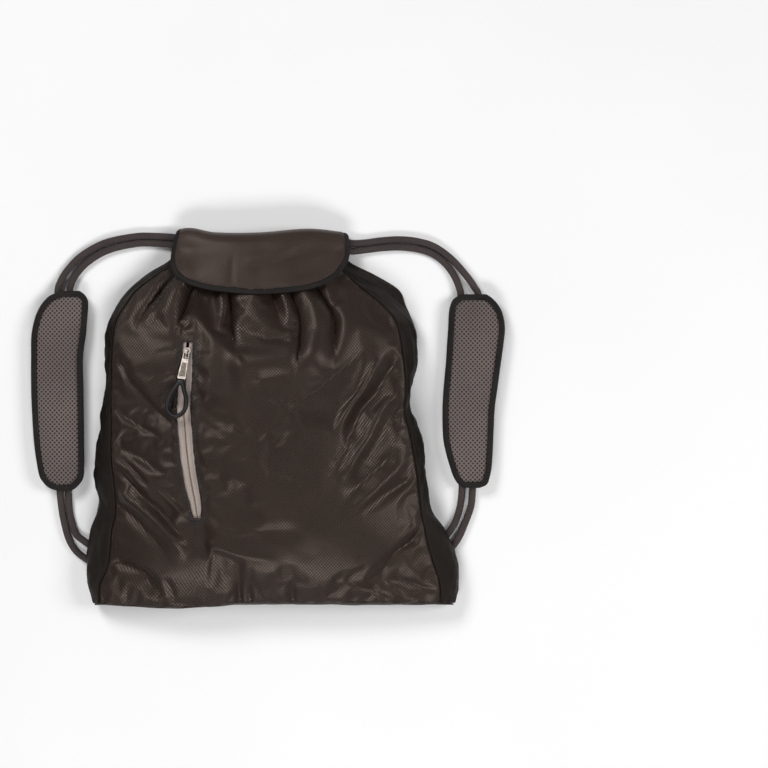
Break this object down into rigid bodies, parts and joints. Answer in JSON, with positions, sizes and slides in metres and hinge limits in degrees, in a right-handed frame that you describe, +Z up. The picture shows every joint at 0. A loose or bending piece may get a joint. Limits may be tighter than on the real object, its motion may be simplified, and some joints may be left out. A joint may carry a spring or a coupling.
{
  "type": "packable drawcord backpack",
  "caption": "Soft nylon backpack lying on its back, gathered at a drawcord mouth under a bound flap, with a slanting zip pocket, gusseted sides and cord straps with mesh pads.",
  "frame": {"origin": "centre of the bounding box on the floor that the bag lies on", "axes": "+X across the bag towards its zip-free side, +Y from the base to the flap, +Z up from the floor through the bag's front"},
  "size_m": [0.4716, 0.3754, 0.0685],
  "materials": {
    "brown_nylon": "satin woven",
    "flap_nylon": "satin woven",
    "black_cloth": "matt plain weave",
    "binding_cloth": "matt twill",
    "zip_tape": "woven tape",
    "zip_metal": "polished",
    "black_pull_cord": "smooth",
    "air_mesh": "knitted spacer mesh",
    "cord": "soft braid"
  },
  "bodies": {
    "bag": {"front_panel": "brown_nylon", "flap": "flap_nylon", "back_panel": "black_cloth", "gusset_left": "black_cloth", "gusset_right": "black_cloth", "bottom_panel": "black_cloth", "mouth_casing": "black_cloth", "flap_binding": "binding_cloth", "pad_binding_left": "binding_cloth", "pad_binding_right": "binding_cloth", "pad_sleeve_left": "black_cloth", "pad_sleeve_right": "black_cloth", "zip_tape_left": "zip_tape", "zip_tape_right": "zip_tape", "zip_slider": "zip_metal", "pad_left": "air_mesh", "pad_right": "air_mesh", "cord_left_outer": "cord", "cord_left_inner": "cord", "cord_right_inner": "cord", "cord_right_outer": "cord"},
    "pull": {"pull_tab": "zip_metal", "pull_loop": "black_pull_cord"}
  },
  "joints": [
    {"name": "pull_hinge", "type": "hinge", "parent": "bag", "child": "pull", "pos_m": [-0.07729, 0.06386, 0.05486], "axis": [-0.9803, 0.1487, -0.1298], "range_deg": [0, 150]}
  ]
}
